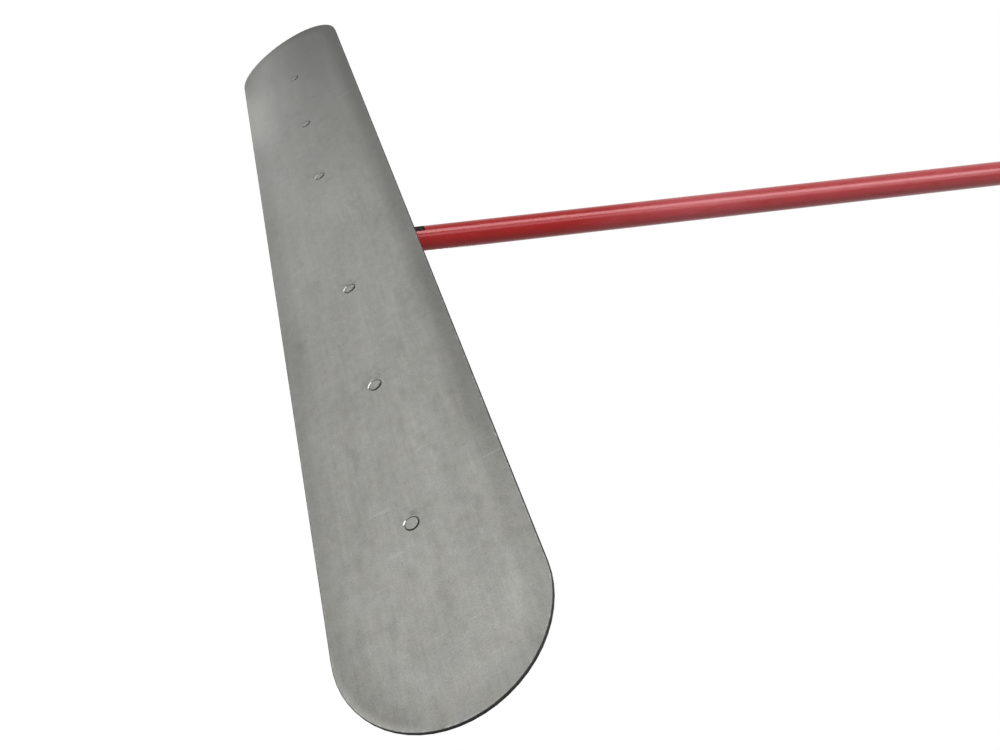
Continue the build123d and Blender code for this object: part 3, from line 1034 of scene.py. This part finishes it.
class FLOAT_OT_rivets(bpy.types.Operator):
    """Sets the six blade rivets and the washers under their tails"""

    bl_idname = "bull_float.rivets"
    bl_label = "Blade Rivets"

    def execute(self, context):
        settings = context.scene.float_settings
        metal = rivet_aluminium(settings)
        washer = extent("rivet_washers")
        tail_base = solids_of("rivet_washers")[0][1].z
        rivet = {
            **RIVET,
            "Head Radius": settings.rivet_head_diameter / 2,
            "Drift": settings.rivet_head_drift,
            "Tail Base": tail_base,
            "Tail Height": RIVETS[0][1].z - tail_base,
            "Material": metal,
        }
        grow_over("set_rivets", "blade_rivets", "float", "rivets", rivet_tree(), rivet)
        ring = {
            **RIVET_WASHER,
            "Outer Radius": washer.x / 2,
            "Thickness": washer.z,
            "Material": metal,
        }
        grow_over("tail_washers", "rivet_washers", "float", "rivets", washer_tree(), ring)
        return {"FINISHED"}


class FLOAT_OT_pivot(bpy.types.Operator):
    """Finishes the tilting pivot: bracket, adapter, bush, friction discs, bolt and washers"""

    bl_idname = "bull_float.pivot"
    bl_label = "Tilting Pivot"

    def execute(self, context):
        settings = context.scene.float_settings
        coat("pivot_bracket", painted_casting("bracket_paint", settings))
        coat("handle_adapter", painted_casting("adapter_paint", settings))
        coat("pivot_bush", bush_bronze())
        fibre = pressed_fibre()
        coat("friction_disc_near", fibre)
        coat("friction_disc_far", fibre)
        plate = zinc_plate("pivot_zinc", settings)
        coat("pivot_washer", plate)
        coat("spring_washer", plate)
        coat("wing_nut", plate)
        low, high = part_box("pivot_bolt")
        bolt = {
            **PIVOT_BOLT,
            "Head Width": high.x - low.x,
            "Thread Start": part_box("pivot_washer")[0].y - low.y,
            "Length": high.y - low.y,
            "Material": plate,
        }
        tree = bolt_tree("carriage_bolt", round_head, head_rows=11)
        grow_over("threaded_pivot_bolt", "pivot_bolt", "float", "zinc", tree, bolt, TOWARDS_Y)
        return {"FINISHED"}


class FLOAT_OT_fasteners(bpy.types.Operator):
    """Sets the threaded screws and bolts with their nuts and washers"""

    bl_idname = "bull_float.fasteners"
    bl_label = "Screws And Nuts"

    def execute(self, context):
        settings = context.scene.float_settings
        finish = {"Material": zinc_plate("fastener_zinc", settings)}
        thread = {"Pitch": settings.thread_pitch, **finish}
        screw = extent("bracket_screws")
        washer = extent("bracket_washers")
        sunk = {**M6_SUNK_SCREW, "Head Width": screw.x, "Length": screw.z, **thread}
        cross = {**M6_BOLT, "Length": extent("cross_bolts").y, **thread}
        nut = {**M6_NUT, "Height": extent("bracket_nuts").z, **finish}
        ring = {**M6_WASHER, "Outer Radius": washer.x / 2, "Thickness": washer.z, **finish}
        tree = bolt_tree("sunk_screw", sunk_head, head_rows=5)
        grow_over("sunk_screws", "bracket_screws", "float", "zinc", tree, sunk)
        tree = bolt_tree("hexagon_bolt", hexagon_head, head_rows=6)
        grow_over("hexagon_bolts", "cross_bolts", "handle", "zinc", tree, cross, TOWARDS_Y)
        tree = nut_tree()
        grow_over("base_nuts", "bracket_nuts", "float", "zinc", tree, nut)
        grow_over("tube_nuts", "cross_nuts", "handle", "zinc", tree, nut, TOWARDS_Y)
        tree = washer_tree()
        grow_over("base_washers", "bracket_washers", "float", "zinc", tree, ring)
        grow_over("tube_washers", "cross_washers", "handle", "zinc", tree, ring, TOWARDS_Y)
        return {"FINISHED"}


class FLOAT_OT_handle(bpy.types.Operator):
    """Paints the handle tube and finishes the end ferrule"""

    bl_idname = "bull_float.handle"
    bl_label = "Handle"

    def execute(self, context):
        settings = context.scene.float_settings
        coat("handle_tube", handle_paint(settings))
        coat("handle_ferrule", moulded_plastic(settings))
        return {"FINISHED"}


# ---------------------------------------------------------------- studio

# The camera looks up at the working face from below its near end
CAMERA_PLACE = Vector((0.19, 1.1172, -0.5831))
CAMERA_TURN = Euler((math.radians(-136.887), math.radians(-28.742), math.radians(11.212)))
CAMERA_SHIFT = (0.1121, 0.0676)

# Soft lamps under the blade, for its near half, its far end and its middle, and above the float
BLADE_LAMPS = {
    "low_key": {"place": (0.25, 0.95, -0.8), "aim": (0.05, 0.5, 0.0), "width": 0.5, "length": 0.5},
    "far_glow": {
        "place": (-0.24, -1.436, -0.324),
        "aim": (-0.085, -0.5, 0.0),
        "width": 0.25,
        "length": 0.4,
    },
    "mid_glow": {
        "place": (-0.34, -1.27, -0.649),
        "aim": (-0.06, 0.0, 0.0),
        "width": 0.3,
        "length": 0.6,
    },
}
HIGH_LAMPS = {
    "high_key": {"place": (-1.8, -1.6, 2.6), "aim": (0.4, 0.0, 0.2), "width": 2.2, "length": 2.2},
    "high_fill": {
        "place": (2.6, 2.0, 2.2),
        "aim": (0.4, 0.0, 0.2),
        "width": 2.0,
        "length": 2.0,
        "mirrored": False,
    },
}

# Long lamps beside the handle: their turn round it at each end, in degrees from the camera's side
HANDLE_LAMPS = {
    "handle_key": {"near_turn": 66.0, "far_turn": 33.0, "width": 0.8},
    "handle_fill": {"near_turn": 32.0, "far_turn": 10.0, "width": 0.7},
}

# How far these stand from the handle, and where they begin and end along it from the pivot
LAMP_AWAY = 2.0
LAMP_SPAN = (0.1, 2.85)

# The floor lies just under the blade, FLOOR_REACH from its middle to each side
FLOOR_DROP = 0.6 * MM
FLOOR_REACH = 5.0
WHITE = (1.0, 1.0, 1.0, 1.0)


def soft_lamp(name, power, place, aim, width, length, mirrored=True):
    """A rectangular lamp facing the aim point, seen at most as a reflection on the pieces."""
    light = bpy.data.lights.new(name, "AREA")
    light.energy = power
    light.shape = "RECTANGLE"
    light.size = width
    light.size_y = length
    lamp = bpy.data.objects.new(name, light)
    lamp.location = place
    lamp.rotation_euler = (Vector(aim) - Vector(place)).to_track_quat("-Z", "Y").to_euler()
    lamp.visible_camera = False
    lamp.visible_glossy = mirrored
    bpy.context.scene.collection.objects.link(lamp)
    return lamp


def beside_handle(along, turn):
    """A point LAMP_AWAY from the handle, turned round it in degrees from the camera's side downwards."""
    towards_camera = CAMERA_PLACE - PIVOT
    level = (towards_camera - HANDLE_AXIS * towards_camera.dot(HANDLE_AXIS)).normalized()
    under = level.cross(HANDLE_AXIS)
    outwards = level * math.cos(math.radians(turn)) + under * math.sin(math.radians(turn))
    return PIVOT + HANDLE_AXIS * along + outwards * LAMP_AWAY


def lamp_along_handle(name, power, near_turn, far_turn, width):
    """A long lamp beside the handle, from its near end to past the far end, that faces it."""
    near = beside_handle(LAMP_SPAN[0], near_turn)
    far = beside_handle(LAMP_SPAN[1], far_turn)
    centre = (near + far) / 2
    aim = PIVOT + HANDLE_AXIS * sum(LAMP_SPAN) / 2
    lamp = soft_lamp(name, power, centre, aim, width, (far - near).length)
    run = (far - near).normalized()
    across = run.cross(centre - aim).normalized()
    lamp.rotation_euler = Matrix((across, run, across.cross(run))).transposed().to_euler()


def floor_surface():
    """Pale floor, clear from below, paler to the camera than it is lit, and fading out far away."""
    material, wire = new_material("studio_floor")
    point = object_point(wire)
    x, y, _ = point.split()
    near = 1 - ((x * x + y * y) ** 0.5).rise(1.4, 4.0)
    facing = wire.node("ShaderNodeNewGeometry", output="Backfacing")
    colour = point.noise(20 * MM, detail=3).blend((0.86, 0.86, 0.86), (0.9, 0.9, 0.9))
    matt = wire.node("ShaderNodeBsdfDiffuse", inputs={"Color": colour})
    white = wire.node("ShaderNodeEmission", inputs={"Color": WHITE, "Strength": 1.0})
    seen = wire.node("ShaderNodeLightPath", output="Is Camera Ray")
    pale = wire.node("ShaderNodeMixShader", inputs={0: 0.5 * seen, 1: matt, 2: white})
    clear = wire.node("ShaderNodeBsdfTransparent")
    shown = wire.node("ShaderNodeMixShader", inputs={0: near * (1 - facing), 1: clear, 2: pale})
    wire.node("ShaderNodeOutputMaterial", inputs={"Surface": shown})
    return material


def lay_floor():
    """The floor, which hides nothing from the lamps and isn't mirrored in the float."""
    sides = ((-1, -1), (1, -1), (1, 1), (-1, 1))
    corners = [(i * FLOOR_REACH, j * FLOOR_REACH, -FLOOR_DROP) for i, j in sides]
    mesh = bpy.data.meshes.new("floor")
    mesh.from_pydata(corners, [], [(0, 1, 2, 3)])
    mesh.materials.append(floor_surface())
    floor = bpy.data.objects.new("floor", mesh)
    bpy.context.scene.collection.objects.link(floor)
    floor.visible_diffuse = False
    floor.visible_glossy = False
    floor.visible_transmission = False
    floor.visible_shadow = False


def white_room(daylight):
    """World that is white where it is seen or mirrored, and gives an even daylight elsewhere."""
    world = bpy.data.worlds.new("white_room")
    world.use_nodes = True
    world.node_tree.nodes.clear()
    wire = Wire(world.node_tree)
    seen = wire.node("ShaderNodeLightPath", output="Is Camera Ray")
    background = seen.most(seen.part("Is Glossy Ray")).most(seen.part("Is Transmission Ray"))
    strength = background + (1 - background) * daylight
    sky = wire.node("ShaderNodeBackground", inputs={"Color": WHITE, "Strength": strength})
    wire.node("ShaderNodeOutputWorld", inputs={"Surface": sky})
    return world


def stand_camera(scene, lens):
    """The camera of the main view."""
    camera = bpy.data.cameras.new("camera")
    camera.lens = lens
    camera.sensor_width = 36.0
    camera.shift_x, camera.shift_y = CAMERA_SHIFT
    camera.clip_start = 10 * MM
    stand = bpy.data.objects.new("camera", camera)
    stand.location = CAMERA_PLACE
    stand.rotation_euler = CAMERA_TURN
    scene.collection.objects.link(stand)
    scene.camera = stand


class FLOAT_OT_studio(bpy.types.Operator):
    """Lays the pale floor and sets the lamps, the white room and the camera"""

    bl_idname = "bull_float.studio"
    bl_label = "Studio"

    def execute(self, context):
        settings = context.scene.float_settings
        scene = context.scene
        lay_floor()
        scene.world = white_room(settings.daylight)
        kinds = ((soft_lamp, BLADE_LAMPS), (lamp_along_handle, HANDLE_LAMPS), (soft_lamp, HIGH_LAMPS))
        for make, lamps in kinds:
            for name, measures in lamps.items():
                make(name, getattr(settings, f"{name}_power"), **measures)
        stand_camera(scene, settings.lens)
        scene.view_settings.view_transform = "Standard"
        return {"FINISHED"}


class FLOAT_PT_panel(bpy.types.Panel):
    """Lists the float's pieces in the sidebar"""

    bl_idname = "FLOAT_PT_panel"
    bl_label = "Bull Float"
    bl_space_type = "VIEW_3D"
    bl_region_type = "UI"
    bl_category = "Float"

    def draw(self, context):
        for operator in OPERATORS:
            self.layout.operator(operator.bl_idname)
        for name in FloatSettings.__annotations__:
            self.layout.prop(context.scene.float_settings, name)


OPERATORS = (
    FLOAT_OT_blade,
    FLOAT_OT_backbone,
    FLOAT_OT_rivets,
    FLOAT_OT_pivot,
    FLOAT_OT_fasteners,
    FLOAT_OT_handle,
    FLOAT_OT_studio,
)


def register():
    """Adds the settings, the operators and the panel to Blender."""
    for made in (FloatSettings, *OPERATORS, FLOAT_PT_panel):
        bpy.utils.register_class(made)
    bpy.types.Scene.float_settings = bpy.props.PointerProperty(type=FloatSettings)


def unregister():
    """Takes them out again."""
    del bpy.types.Scene.float_settings
    for made in reversed((FloatSettings, *OPERATORS, FLOAT_PT_panel)):
        bpy.utils.unregister_class(made)


def main():
    """Builds every piece in order."""
    register()
    bpy.ops.bull_float.blade()
    bpy.ops.bull_float.backbone()
    bpy.ops.bull_float.rivets()
    bpy.ops.bull_float.pivot()
    bpy.ops.bull_float.fasteners()
    bpy.ops.bull_float.handle()
    bpy.ops.bull_float.studio()


if __name__ == "__main__":
    main()
